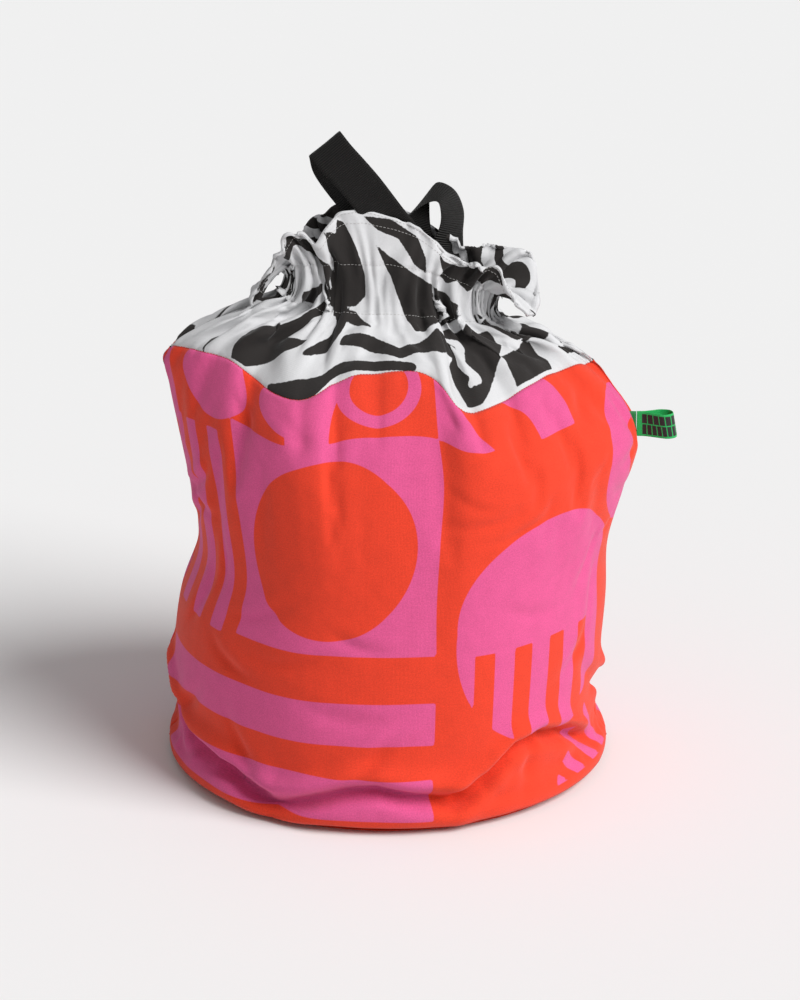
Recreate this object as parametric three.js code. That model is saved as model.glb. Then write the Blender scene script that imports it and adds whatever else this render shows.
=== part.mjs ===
// A drawstring sack for sack races, drawn shut and standing on its round base.
// Millimetres, +Z up, X to the right, the front at -Y. The origin is the centre of the base.
import * as THREE from 'three';

// Cloth and webbing.
const CLOTH = 2.0;
const GAP = 0.4;
const SEAM_GAP = 1.2;
const WEBBING_WIDTH = 38;
const WEBBING_THICK = 1.8;
const BASE_RADIUS = 199;

// Depths below the outer face of the cloth, inside the casing.
const RUN_TOP = CLOTH + GAP;
const RUN_BOTTOM = RUN_TOP + WEBBING_THICK;
const FACING_TOP = RUN_BOTTOM + GAP;
const FACING_BOTTOM = FACING_TOP + 1.6;

// How many strips go round half of the sack.
const HALF_STRIPS = 20;

// The bag's outline, level by level from the base seam to the rim. Each level has a height, four half
// sizes, how pointed its side seams are, how deep its folds are and how far its sides droop.
const LEVELS = [
  { z: 2.4, left: 201, right: 201, front: 201, back: 201, point: 0, fold: 0, droopLeft: 0, droopRight: 0 },
  { z: 18, left: 211, right: 210, front: 212, back: 210, point: 0, fold: 0, droopLeft: 0, droopRight: 0 },
  { z: 58, left: 204, right: 202, front: 208, back: 206, point: 0, fold: 0, droopLeft: 0, droopRight: 0 },
  { z: 110, left: 205, right: 207, front: 204, back: 205, point: 0, fold: 0, droopLeft: 0, droopRight: 0 },
  { z: 170, left: 201, right: 210, front: 197, back: 200, point: 0, fold: 0.01, droopLeft: 0, droopRight: 0 },
  { z: 226, left: 182, right: 213, front: 190, back: 195, point: 0.05, fold: 0.02, droopLeft: 0, droopRight: 0 },
  { z: 282, left: 189, right: 228, front: 180, back: 184, point: 0.12, fold: 0.03, droopLeft: 0, droopRight: 0 },
  { z: 336, left: 199, right: 240, front: 166, back: 169, point: 0.25, fold: 0.05, droopLeft: 0, droopRight: 0 },
  { z: 380, left: 207, right: 216, front: 146, back: 149, point: 0.5, fold: 0.1, droopLeft: 0, droopRight: 0 },
  { z: 415, left: 210, right: 198, front: 114, back: 117, point: 0.7, fold: 0.18, droopLeft: -5, droopRight: 9 },
  { z: 440, left: 160, right: 158, front: 72, back: 74, point: 0.4, fold: 0.1, droopLeft: 0, droopRight: 12 },
  { z: 462, left: 106, right: 110, front: 33, back: 34, point: 0, fold: 0, droopLeft: 8, droopRight: 20 },
  { z: 510, left: 100, right: 108, front: 29, back: 30, point: 0, fold: 0, droopLeft: 20, droopRight: 40 },
  { z: 550, left: 126, right: 130, front: 24, back: 25, point: 0, fold: 0.05, droopLeft: 56, droopRight: 76 },
  { z: 560, left: 133, right: 139, front: 22, back: 23, point: 0, fold: 0.08, droopLeft: 64, droopRight: 85 },
];
const SEAM_LEVEL = 9;
const CASING_LOW = 11;
const CASING_HIGH = 12;
const HEM_LEVEL = 13;
const RIM_LEVEL = 14;

// Where the strap pairs leave the mouth, and where the loops turn on them.
const TURN_HEIGHT = 568;
const PULL_TOP = TURN_HEIGHT - 0.7;
const OUTER_PULL_TOP = TURN_HEIGHT - 2.8;
const LOOP_BOTTOM = TURN_HEIGHT + 0.6;
const FRONT_PAIR = [-12, -8.8];
const REAR_PAIR = [8.8, 12];

const RIGHT_CORNER = 240;
const LABEL_LOW = 326;
const LABEL_HIGH = 351;

const COLOURS = {
  body: 0xee492a,
  base: 0xe4442a,
  collar: 0xdedee0,
  facing: 0xc9c9cc,
  thread: 0xe8e4dc,
  seam: 0xb5301f,
  webbing: 0x14130f,
  label: 0x00a550,
};

const group = new THREE.Group();
group.name = 'sack_race_bag';

function material(colour, roughness) {
  return new THREE.MeshStandardMaterial({ color: colour, roughness, metalness: 0, side: THREE.FrontSide });
}

function addMesh(name, points, triangles, colour, roughness) {
  const geometry = new THREE.BufferGeometry();
  geometry.setAttribute('position', new THREE.Float32BufferAttribute(points.flat(), 3));
  geometry.setIndex(triangles.flat());
  geometry.computeVertexNormals();
  const mesh = new THREE.Mesh(geometry, material(colour, roughness));
  mesh.name = name;
  group.add(mesh);
}

function blend(a, b, c, d, t) {
  const slopeB = (c - a) / 2;
  const slopeC = (d - b) / 2;
  const t2 = t * t;
  const t3 = t2 * t;
  return b * (2 * t3 - 3 * t2 + 1) + slopeB * (t3 - 2 * t2 + t) + c * (3 * t2 - 2 * t3) + slopeC * (t3 - t2);
}

function levelAt(v) {
  const i = Math.min(Math.floor(v), LEVELS.length - 2);
  const before = LEVELS[Math.max(i - 1, 0)];
  const after = LEVELS[Math.min(i + 2, LEVELS.length - 1)];
  const result = {};
  for (const key of Object.keys(LEVELS[0])) {
    result[key] = blend(before[key], LEVELS[i][key], LEVELS[i + 1][key], after[key], v - i);
  }
  return result;
}

// A gentle set of folds round the front and back that fades out at the side seams.
function foldAt(angle) {
  const fromFront = angle + Math.PI / 2 + 0.03;
  const fade = Math.pow(Math.abs(Math.sin(angle)), 0.7);
  return -Math.cos(fromFront * 7.6) * fade;
}

function surface(angle, v) {
  const level = levelAt(v);
  const c = Math.cos(angle);
  const s = Math.sin(angle);
  const halfWidth = c > 0 ? level.right : level.left;
  const halfDepth = s < 0 ? level.front : level.back;
  const fold = level.fold * foldAt(angle);
  const droop = c > 0 ? level.droopRight * Math.pow(c, 1.5) : level.droopLeft * Math.pow(-c, 3);
  return new THREE.Vector3(
    halfWidth * c,
    halfDepth * Math.sign(s) * Math.pow(Math.abs(s), 1 + Math.max(level.point, 0)) * (1 + fold),
    level.z - droop - fold * 66,
  );
}

function clothPoint(angle, v, depth) {
  const step = 0.02;
  const low = Math.max(v - step, 0);
  const high = Math.min(v + step, RIM_LEVEL);
  const around = surface(angle + step, v).sub(surface(angle - step, v));
  const up = surface(angle, high).sub(surface(angle, low));
  const outward = around.cross(up).normalize();
  return surface(angle, v).addScaledVector(outward, -depth);
}

// The angle beside a side seam that leaves the seam gap at this level.
function seamAngle(v) {
  const level = levelAt(v);
  const share = Math.pow(SEAM_GAP / Math.min(level.front, level.back), 1 / (1 + Math.max(level.point, 0)));
  return Math.asin(share);
}

// The angles across the front half (side -1) or the back half (side 1).
function halfAngles(side, v) {
  const edge = seamAngle(v);
  const start = side < 0 ? -Math.PI + edge : edge;
  const end = side < 0 ? -edge : Math.PI - edge;
  const angles = [];
  for (let i = 0; i <= HALF_STRIPS; i += 1) {
    angles.push(start + ((end - start) * i) / HALF_STRIPS);
  }
  return angles;
}

// A sheet of cloth over half of the sack, between two depths below its outer face.
function halfSheet(name, side, stations, outer, inner, colour) {
  const points = [];
  const triangles = [];
  const columns = HALF_STRIPS + 1;
  for (const depth of [outer, inner]) {
    for (const v of stations) {
      for (const angle of halfAngles(side, v)) {
        const point = clothPoint(angle, v, depth(v));
        point.y = side * Math.max(side * point.y, SEAM_GAP);
        points.push(point.toArray());
      }
    }
  }
  const layer = stations.length * columns;
  const at = (k, row, column) => k * layer + row * columns + column;
  const quad = (a, b, c, d) => triangles.push([a, b, c], [a, c, d]);
  const rows = stations.length - 1;
  for (let row = 0; row < rows; row += 1) {
    for (let i = 0; i < HALF_STRIPS; i += 1) {
      quad(at(0, row, i), at(0, row, i + 1), at(0, row + 1, i + 1), at(0, row + 1, i));
      quad(at(1, row, i), at(1, row + 1, i), at(1, row + 1, i + 1), at(1, row, i + 1));
    }
    quad(at(0, row, 0), at(0, row + 1, 0), at(1, row + 1, 0), at(1, row, 0));
    quad(at(0, row, HALF_STRIPS), at(1, row, HALF_STRIPS), at(1, row + 1, HALF_STRIPS), at(0, row + 1, HALF_STRIPS));
  }
  for (let i = 0; i < HALF_STRIPS; i += 1) {
    quad(at(0, 0, i), at(1, 0, i), at(1, 0, i + 1), at(0, 0, i + 1));
    quad(at(0, rows, i), at(0, rows, i + 1), at(1, rows, i + 1), at(1, rows, i));
  }
  addMesh(name, points, triangles, colour, 0.9);
}

// A thin row of thread that goes right round the sack just outside the cloth.
function threadRow(name, v, height, colour) {
  const points = [];
  const triangles = [];
  const angles = [...halfAngles(-1, v), 0, ...halfAngles(1, v), Math.PI];
  const count = angles.length;
  const spread = height / 40;
  for (const angle of angles) {
    points.push(clothPoint(angle, v, -GAP).toArray());
    points.push(clothPoint(angle, Math.max(v - spread, 0), -GAP - 1).toArray());
    points.push(clothPoint(angle, Math.min(v + spread, RIM_LEVEL), -GAP - 1).toArray());
  }
  for (let i = 0; i < count; i += 1) {
    const a = i * 3;
    const b = ((i + 1) % count) * 3;
    for (const [p, q] of [[0, 1], [1, 2], [2, 0]]) {
      triangles.push([a + p, a + q, b + q], [a + p, b + q, b + p]);
    }
  }
  orientOutward(points, triangles);
  addMesh(name, points, triangles, colour, 0.8);
}

function orientOutward(points, triangles) {
  let volume = 0;
  const a = new THREE.Vector3();
  const b = new THREE.Vector3();
  const c = new THREE.Vector3();
  for (const [i, j, k] of triangles) {
    a.fromArray(points[i]);
    b.fromArray(points[j]);
    c.fromArray(points[k]);
    volume += a.dot(b.cross(c));
  }
  if (volume < 0) {
    triangles.forEach((t) => t.reverse());
  }
}

function bodyPanels() {
  const stations = [0, 0.4, 1, 1.5, 2, 3, 4, 5, 6, 7, 7.5, 8, 8.5, 8.97];
  const outer = () => 0;
  const inner = () => CLOTH;
  halfSheet('body_front', -1, stations, outer, inner, COLOURS.body);
  halfSheet('body_back', 1, stations, outer, inner, COLOURS.body);
}

const UPPER_STATIONS = [11, 11.15, 11.5, 11.85, 12, 12.5, 13, 13.5, 14];

function collarPanels() {
  const stations = [9.03, 9.3, 9.6, 10, 10.4, 10.7, ...UPPER_STATIONS];
  const outer = () => 0;
  const inner = () => CLOTH;
  halfSheet('collar_front', -1, stations, outer, inner, COLOURS.collar);
  halfSheet('collar_back', 1, stations, outer, inner, COLOURS.collar);
}

// The turned-in layer lies behind the webbing and then close behind the frill.
function facingDepth(v) {
  const above = Math.min(Math.max(v - CASING_HIGH, 0), 1);
  return FACING_TOP + (RUN_TOP - FACING_TOP) * above;
}

function facingPanels() {
  const outer = facingDepth;
  const inner = (v) => facingDepth(v) + FACING_BOTTOM - FACING_TOP;
  halfSheet('facing_front', -1, UPPER_STATIONS, outer, inner, COLOURS.facing);
  halfSheet('facing_back', 1, UPPER_STATIONS, outer, inner, COLOURS.facing);
}

function drawstringRuns() {
  const stations = [11.15, 11.5, 11.85];
  const outer = () => RUN_TOP;
  const inner = () => RUN_BOTTOM;
  halfSheet('drawstring_front_run', -1, stations, outer, inner, COLOURS.webbing);
  halfSheet('drawstring_back_run', 1, stations, outer, inner, COLOURS.webbing);
}

function basePanel() {
  const outline = new THREE.Shape();
  outline.absarc(0, 0, BASE_RADIUS, 0, Math.PI * 2);
  const disc = new THREE.ExtrudeGeometry(outline, { depth: CLOTH, bevelEnabled: false, curveSegments: 36 });
  const mesh = new THREE.Mesh(disc, material(COLOURS.base, 0.9));
  mesh.name = 'base_panel';
  group.add(mesh);
}

function baseSeam() {
  const section = [[199.5, 0.4], [200.9, 0.4], [200.9, 1.9], [199.5, 1.9], [199.5, 0.4]];
  const ring = new THREE.LatheGeometry(section.map(([r, z]) => new THREE.Vector2(r, z)), 72);
  ring.rotateX(Math.PI / 2);
  const mesh = new THREE.Mesh(ring, material(COLOURS.seam, 0.8));
  mesh.name = 'base_seam_stitches';
  group.add(mesh);
}

// A strap with a flat section. Each station has a centre and a half-width vector.
function strapSections(stations, steps) {
  const centre = new THREE.CatmullRomCurve3(stations.map((s) => new THREE.Vector3(...s.centre)), false, 'centripetal');
  const halves = stations.map((s) => new THREE.Vector3(...s.half));
  const sections = [];
  for (let i = 0; i <= steps; i += 1) {
    const t = i / steps;
    const place = t * (halves.length - 1);
    const k = Math.min(Math.floor(place), halves.length - 2);
    sections.push({
      centre: centre.getPoint(t),
      tangent: centre.getTangent(t),
      half: halves[k].clone().lerp(halves[k + 1], place - k),
    });
  }
  return sections;
}

function strap(name, stations, steps, thick, colour, endNormal) {
  const points = [];
  const triangles = [];
  const sections = strapSections(stations, steps);
  sections.forEach((section, index) => {
    const normal = section.tangent.clone().cross(section.half).normalize();
    const isEnd = index === 0 || index === steps;
    if (isEnd && endNormal) {
      normal.copy(new THREE.Vector3(0, Math.sign(normal.y), 0));
    }
    for (const [side, face] of [[-1, -1], [1, -1], [1, 1], [-1, 1]]) {
      const point = section.centre.clone();
      point.addScaledVector(section.half, side);
      point.addScaledVector(normal, (face * thick) / 2);
      points.push(point.toArray());
    }
  });
  for (let i = 0; i < steps; i += 1) {
    for (let j = 0; j < 4; j += 1) {
      const a = i * 4 + j;
      const b = i * 4 + ((j + 1) % 4);
      triangles.push([a, b, b + 4], [a, b + 4, a + 4]);
    }
  }
  const last = steps * 4;
  triangles.push([0, 3, 2], [0, 2, 1]);
  triangles.push([last, last + 1, last + 2], [last, last + 2, last + 3]);
  orientOutward(points, triangles);
  addMesh(name, points, triangles, colour, 0.75);
}

const HALF = WEBBING_WIDTH / 2;
const FLAT = [HALF, 0, 0];
const SPLIT_LEAN = [HALF / 0.79, 0, 0];
const UPPER_LEAN = [14.4, 0, 12.2];

function frontPulls() {
  const [outer, inner] = FRONT_PAIR;
  const leg = (y, top) => [
    { centre: [30, y, 425], half: FLAT },
    { centre: [30, y, 475], half: FLAT },
    { centre: [22, y, 520], half: [HALF, 0, 4] },
    { centre: [-10 + (TURN_HEIGHT - top) / 2, y, top], half: SPLIT_LEAN },
  ];
  strap('front_pull_outer', leg(outer, OUTER_PULL_TOP), 14, WEBBING_THICK, COLOURS.webbing, true);
  strap('front_pull_inner', leg(inner, PULL_TOP), 14, WEBBING_THICK, COLOURS.webbing, true);
}

function frontLoop() {
  const [outer, inner] = FRONT_PAIR;
  const stations = [
    { centre: [-11, outer, LOOP_BOTTOM], half: SPLIT_LEAN },
    { centre: [-26, -17, 588], half: UPPER_LEAN },
    { centre: [-46, -20, 613], half: UPPER_LEAN },
    { centre: [-60, -11, 633], half: UPPER_LEAN },
    { centre: [-48, -1, 615], half: UPPER_LEAN },
    { centre: [-28, -3, 590], half: UPPER_LEAN },
    { centre: [-11, inner, LOOP_BOTTOM], half: SPLIT_LEAN },
  ];
  strap('front_loop', stations, 36, WEBBING_THICK, COLOURS.webbing, true);
}

function rearPulls() {
  const [near, far] = REAR_PAIR;
  const leg = (x, y, top) => [
    { centre: [52, y, 425], half: FLAT },
    { centre: [52, y, 475], half: FLAT },
    { centre: [51, y, 515], half: FLAT },
    { centre: [x, y, top], half: FLAT },
  ];
  strap('rear_pull_left', leg(46, near, PULL_TOP), 14, WEBBING_THICK, COLOURS.webbing, true);
  strap('rear_pull_right', leg(54, far, OUTER_PULL_TOP), 14, WEBBING_THICK, COLOURS.webbing, true);
}

function rearLoop() {
  const [near, far] = REAR_PAIR;
  const stations = [
    { centre: [45.8, near, LOOP_BOTTOM], half: FLAT },
    { centre: [42, 5, 578], half: [16, 9, 0] },
    { centre: [45, 6, 590], half: [13, 13, -2] },
    { centre: [56, 14, 597], half: [11, 15, -2] },
    { centre: [64, 23, 590], half: [13, 13, 0] },
    { centre: [62, 19, 578], half: [16, 9, 0] },
    { centre: [54.2, far, LOOP_BOTTOM], half: FLAT },
  ];
  strap('rear_loop', stations, 36, WEBBING_THICK, COLOURS.webbing, true);
}

// The strip of thread that closes a side seam, from the base to the rim, between the panels.
function sideSeam(name, direction) {
  const stations = [0.2, 0.6, 1, 1.5, 2, 3, 4, 5, 6, 7, 7.5, 8, 8.5, 9, 9.3, 9.6, 10, 10.4, 10.7, 11, 11.5, 12, 12.5, 13, 13.5, 13.9];
  const angle = direction > 0 ? 0 : Math.PI;
  const points = [];
  const triangles = [];
  for (const v of stations) {
    const face = clothPoint(angle, v, 0.7);
    const back = clothPoint(angle, v, 1.9);
    for (const [base, y] of [[face, -0.7], [face, 0.7], [back, 0.7], [back, -0.7]]) {
      points.push([base.x, y, base.z]);
    }
  }
  const steps = stations.length - 1;
  for (let i = 0; i < steps; i += 1) {
    for (let j = 0; j < 4; j += 1) {
      const a = i * 4 + j;
      const b = i * 4 + ((j + 1) % 4);
      triangles.push([a, b, b + 4], [a, b + 4, a + 4]);
    }
  }
  const last = steps * 4;
  triangles.push([0, 3, 2], [0, 2, 1]);
  triangles.push([last, last + 1, last + 2], [last, last + 2, last + 3]);
  orientOutward(points, triangles);
  addMesh(name, points, triangles, COLOURS.seam, 0.8);
}

function label() {
  const middle = (LABEL_LOW + LABEL_HIGH) / 2;
  const upright = [0, 0, (LABEL_HIGH - LABEL_LOW) / 2];
  const out = RIGHT_CORNER + 2;
  const loop = [
    { centre: [out, -0.8, middle], half: upright },
    { centre: [out + 11, -7.5, middle], half: upright },
    { centre: [out + 25, -9, middle], half: upright },
    { centre: [out + 34, -3, middle], half: upright },
    { centre: [out + 33, 5, middle], half: upright },
    { centre: [out + 22, 9, middle], half: upright },
    { centre: [out + 10, 7, middle], half: upright },
    { centre: [out, 0.8, middle], half: upright },
  ];
  strap('label_loop', loop, 24, 0.8, COLOURS.label, false);
  const root = [
    { centre: [RIGHT_CORNER - 26, 0, middle], half: upright },
    { centre: [RIGHT_CORNER - 14, 0, middle], half: upright },
  ];
  strap('label_root', root, 2, 1.4, COLOURS.label, false);
}

basePanel();
baseSeam();
bodyPanels();
collarPanels();
facingPanels();
drawstringRuns();
threadRow('collar_seam_stitches', SEAM_LEVEL, 1.6, COLOURS.seam);
threadRow('casing_lower_stitches', CASING_LOW, 1.2, COLOURS.thread);
threadRow('casing_upper_stitches', CASING_HIGH, 1.2, COLOURS.thread);
threadRow('hem_stitches', HEM_LEVEL, 1.2, COLOURS.thread);
threadRow('rim_stitches', 13.6, 1.2, COLOURS.thread);
sideSeam('side_seam_left', -1);
sideSeam('side_seam_right', 1);
frontPulls();
frontLoop();
rearPulls();
rearLoop();
label();

export default group;
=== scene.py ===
"""A drawstring sack for sack races: its looks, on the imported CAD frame. Metres, +Z up, front at -Y."""

import math

import bpy
import numpy as np
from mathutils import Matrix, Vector


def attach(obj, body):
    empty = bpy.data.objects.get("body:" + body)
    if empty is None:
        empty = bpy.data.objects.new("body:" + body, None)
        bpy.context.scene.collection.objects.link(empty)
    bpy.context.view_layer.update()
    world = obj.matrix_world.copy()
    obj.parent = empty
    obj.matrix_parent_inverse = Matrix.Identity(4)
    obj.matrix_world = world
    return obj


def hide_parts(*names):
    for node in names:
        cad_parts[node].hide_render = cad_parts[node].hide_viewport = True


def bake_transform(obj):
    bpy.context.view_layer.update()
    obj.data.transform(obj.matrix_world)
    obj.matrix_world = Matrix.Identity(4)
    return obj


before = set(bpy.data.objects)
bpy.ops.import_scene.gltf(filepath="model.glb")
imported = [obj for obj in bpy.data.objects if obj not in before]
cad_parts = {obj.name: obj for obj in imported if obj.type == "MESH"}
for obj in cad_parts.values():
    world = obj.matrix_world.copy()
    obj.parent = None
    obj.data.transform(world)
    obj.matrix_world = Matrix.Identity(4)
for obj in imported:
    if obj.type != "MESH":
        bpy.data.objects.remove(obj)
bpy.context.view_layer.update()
MM = 0.001

# The outline of the sack, level by level from the base seam to the rim, in millimetres. "point" draws the
# section out at its two sides, "fold" is how strongly the folds show, and the two droops are how far the
# cloth hangs lower at each side.
FIELDS = ("z", "left", "right", "front", "back", "point", "fold", "droop_left", "droop_right")
LEVELS = (
    (2, 204, 204, 203, 201, 0.00, 0.00, 0, 0),
    (16, 214, 214, 213, 211, 0.00, 0.00, 0, 0),
    (58, 204, 202, 209, 206, 0.00, 0.00, 0, 0),
    (110, 208, 207, 205, 205, 0.00, 0.01, 0, 0),
    (170, 201, 212, 198, 200, 0.00, 0.01, 0, 0),
    (226, 183, 213, 190, 195, 0.05, 0.02, 0, 0),
    (282, 190, 228, 180, 184, 0.12, 0.03, 0, 0),
    (336, 200, 243, 166, 169, 0.25, 0.05, 0, 0),
    (380, 208, 216, 146, 149, 0.50, 0.10, 0, 0),
    (415, 211, 198, 114, 117, 0.70, 0.18, -5, 9),
    (440, 160, 158, 72, 74, 0.40, 0.10, -12, 12),
    (462, 104, 108, 33, 34, 0.00, 0.00, -11, 18),
    (510, 98, 106, 28, 28, 0.00, 0.00, 6, 36),
    (550, 120, 128, 20, 24, 0.00, 0.00, 40, 60),
    (560, 130, 138, 17, 22, 0.00, 0.00, 60, 80),
)
# How strong the folds are at the collar seam, by angle in degrees: -180 is the left side seam, -90 the
# front, 0 the right side seam and 90 the back.
FOLDS = (
    (-180, 0.0), (-152, -0.8), (-136, -0.9), (-129, -0.3), (-122, 0.5), (-115, 0.8), (-109, 0.35),
    (-104, -0.5), (-97, -1.0), (-84, -1.2), (-78, -0.9), (-75, -0.3), (-71, 0.75), (-67, 1.1), (-62, 1.15),
    (-52, 0.6), (-39, -0.15), (-20, -0.3), (0, 0.0), (30, -0.6), (60, 0.8), (90, -0.7), (120, 0.9),
    (150, -0.6), (180, 0.0),
)
# The rim's path: angle in degrees, then x, y and z in millimetres.
RIM_PATH = (
    (-180, -128, 2, 453), (-168, -130, -12, 464), (-158, -120, -13, 490), (-150, -106, -22, 516),
    (-142, -94, -26, 540), (-134, -82, -20, 541), (-126, -68, -30, 529), (-119, -58, -24, 548),
    (-111, -44, -17, 560), (-101, -22, -16, 562), (-90, 8, -17, 553), (-80, 31, -18, 543),
    (-72, 46, -19, 530), (-65, 57, -21, 519), (-57, 71, -24, 510), (-47, 90, -27, 509), (-38, 106, -30, 506),
    (-29, 119, -35, 485), (-20, 130, -37, 463), (-11, 138, -27, 456), (-3, 144, -10, 465), (6, 145, 6, 480),
    (15, 139, 15, 506), (25, 122, 18, 512), (37, 100, 15, 515), (50, 78, 14, 512), (64, 52, 15, 530),
    (80, 18, 13, 552), (97, -22, 8, 564), (110, -46, 12, 560), (124, -70, 20, 540), (137, -90, 22, 520),
    (148, -107, 25, 484), (158, -118, 27, 474), (168, -128, 20, 468),
    (175, -130, 10, 458), (180, -128, 2, 453),
)
# The levels of the collar seam, the casing's two edges and the rim, then the grid that covers the cloth.
SEAM, CASING_LOW, CASING_HIGH, RIM = 9, 11, 12, 14
COLUMNS = 480
ROWS = {"body": 156, "cone": 48, "casing": 18, "frill": 30}
SEAM_ROW = ROWS["body"]
CASING_LOW_ROW = SEAM_ROW + ROWS["cone"]
CASING_HIGH_ROW = CASING_LOW_ROW + ROWS["casing"]
RIM_ROW = CASING_HIGH_ROW + ROWS["frill"]
# The flat cloth, in millimetres: S runs round the sack from the middle of the front, T runs up from the base.
CLOTH = 1.2
AROUND = 205.0
PANEL = 644
GIRTH = 2 * PANEL
SIDE = PANEL // 2


def bell(distance, width):
    """A smooth bump: 1 at no distance, falling away over the width."""
    return np.exp(-((distance / width) ** 2))


def spline(a, b, c, d, t):
    """A smooth curve from b to c as t runs from 0 to 1, with a and d as their neighbours."""
    t2 = t * t
    t3 = t2 * t
    return 0.5 * (2 * b + (c - a) * t + (2 * a - 5 * b + 4 * c - d) * t2 + (3 * b - a - 3 * c + d) * t3)


def through(table, u):
    """Values of a smooth curve through a table's rows, at each place u counted in rows."""
    i = np.clip(np.floor(u).astype(int), 0, len(table) - 2)
    t = (u - i).reshape(u.shape + (1,) * (table.ndim - 1))
    return spline(*(table[np.clip(i + k, 0, len(table) - 1)] for k in (-1, 0, 1, 2)), t)


def run_length(points):
    """How far along a line each of its points lies."""
    steps = np.linalg.norm(np.diff(points, axis=0), axis=1)
    return np.concatenate([[0], np.cumsum(steps)])


def levels_at(v):
    """The outline's values at each level v, as a dict of arrays."""
    values = through(np.array(LEVELS, dtype=float), np.asarray(v, dtype=float))
    return {name: values[..., k] for k, name in enumerate(FIELDS)}


def smooth_keys(keys, angle, width=2.5):
    """Values round the sack from (degrees, value) keys, softened over a few degrees."""
    stations = np.arange(-180, 180, 0.25)
    keys = np.array(keys, dtype=float)
    values = np.interp(stations, keys[:, 0], keys[:, 1])
    reach = np.arange(-60, 61)
    weights = bell(reach * 0.25, width)
    weights /= weights.sum()
    wrapped = np.concatenate([values[-60:], values, values[:60]])
    soft = np.convolve(wrapped, weights, mode="valid")
    degrees = (np.degrees(angle) + 180) % 360 - 180
    return np.interp(degrees, np.append(stations, 180), np.append(soft, soft[0]))


def fold_wave(angle):
    """The folds at the collar seam. Where positive, the cloth stands further out and hangs lower."""
    return smooth_keys(FOLDS, angle)


def outline_points(angle, v):
    """Points of the plain outline, in millimetres, for arrays of angles and levels."""
    lv = levels_at(v)
    c = np.cos(angle)
    s = np.sin(angle)
    half_width = np.where(c > 0, lv["right"], lv["left"])
    half_depth = np.where(s < 0, lv["front"], lv["back"])
    fold = lv["fold"] * fold_wave(angle)
    right = lv["droop_right"] * np.clip(c, 0, 1) ** 1.5
    left = lv["droop_left"] * np.clip(-c, 0, 1) ** 3
    power = 1 + np.clip(lv["point"], 0, 1)
    x = half_width * c
    y = half_depth * np.sign(s) * np.abs(s) ** power * (1 + fold)
    z = lv["z"] - right - left - fold * 66
    return np.stack([x, y, z], axis=-1)


def row_levels():
    """The level v of every row of the cloth grid."""
    parts = [
        np.linspace(0, SEAM, ROWS["body"], endpoint=False),
        np.linspace(SEAM, CASING_LOW, ROWS["cone"], endpoint=False),
        np.linspace(CASING_LOW, CASING_HIGH, ROWS["casing"], endpoint=False),
        np.linspace(CASING_HIGH, RIM, ROWS["frill"] + 1),
    ]
    return np.concatenate(parts)


def even_rows(v):
    """Spaces the rows of each part evenly along the cloth. Returns their levels and their places T."""
    fine = np.linspace(0, RIM, 3000)
    path = outline_points(np.full_like(fine, -math.pi / 2 + 0.2), fine)
    run = run_length(path)
    result = v.copy()
    edges = (0, SEAM_ROW, CASING_LOW_ROW, CASING_HIGH_ROW, RIM_ROW)
    for low, high in zip(edges, edges[1:]):
        ends = np.interp([v[low], v[high]], fine, run)
        result[low : high + 1] = np.interp(np.linspace(*ends, high - low + 1), run, fine)
    return result, np.interp(result, fine, run)


V_ROWS, T_ROWS = even_rows(row_levels())
ANGLES = -math.pi + 2 * math.pi * np.arange(COLUMNS) / COLUMNS
ANGLE_GRID, V_GRID = np.meshgrid(ANGLES, V_ROWS)
S_GRID = AROUND * (ANGLE_GRID + math.pi / 2)
T_GRID = np.repeat(T_ROWS[:, None], COLUMNS, axis=1)


def grid_normals(points):
    """Outward normals of a cloth grid that closes round the sack."""
    across = np.roll(points, -1, axis=1) - np.roll(points, 1, axis=1)
    up = np.gradient(points, axis=0)
    normal = np.cross(across, up)
    return normal / np.maximum(np.linalg.norm(normal, axis=-1, keepdims=True), 1e-9)


def make_object(name, vertices, faces, smooth=True):
    """A mesh object from vertices in metres."""
    mesh = bpy.data.meshes.new(name)
    mesh.from_pydata(vertices.tolist(), [], faces.tolist() if hasattr(faces, "tolist") else faces)
    mesh.update()
    if smooth:
        mesh.shade_smooth()
    obj = bpy.data.objects.new(name, mesh)
    bpy.context.collection.objects.link(obj)
    return obj


def ring_faces(rows, columns):
    """Quads of a grid that closes round the sack."""
    r, c = np.meshgrid(np.arange(rows - 1), np.arange(columns), indexing="ij")
    n = (c + 1) % columns
    low = r * columns
    high = low + columns
    return np.stack([low + c, low + n, high + n, high + c], axis=-1).reshape(-1, 4)


def upsample(coarse, factor):
    """A smooth displacement field on the full grid from one on every factor-th row and column."""
    rows, columns = coarse.shape[:2]
    u = np.arange(columns * factor) / factor
    i = np.floor(u).astype(int)
    t = (u - i)[None, :, None]
    wide = spline(*(coarse[:, (i + k) % columns] for k in (-1, 0, 1, 2)), t)
    return through(wide, np.arange((rows - 1) * factor + 1) / factor)


def soften(field, size):
    """A blurred copy of a field on the coarse grid."""
    reach = np.arange(-2 * size, 2 * size + 1)
    weights = bell(reach, size)
    weights /= weights.sum()
    rows = field.shape[0]
    result = sum(w * field[np.clip(np.arange(rows) + k, 0, rows - 1)] for k, w in zip(reach, weights))
    return sum(w * np.roll(result, k, axis=1) for k, w in zip(reach, weights))


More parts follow.
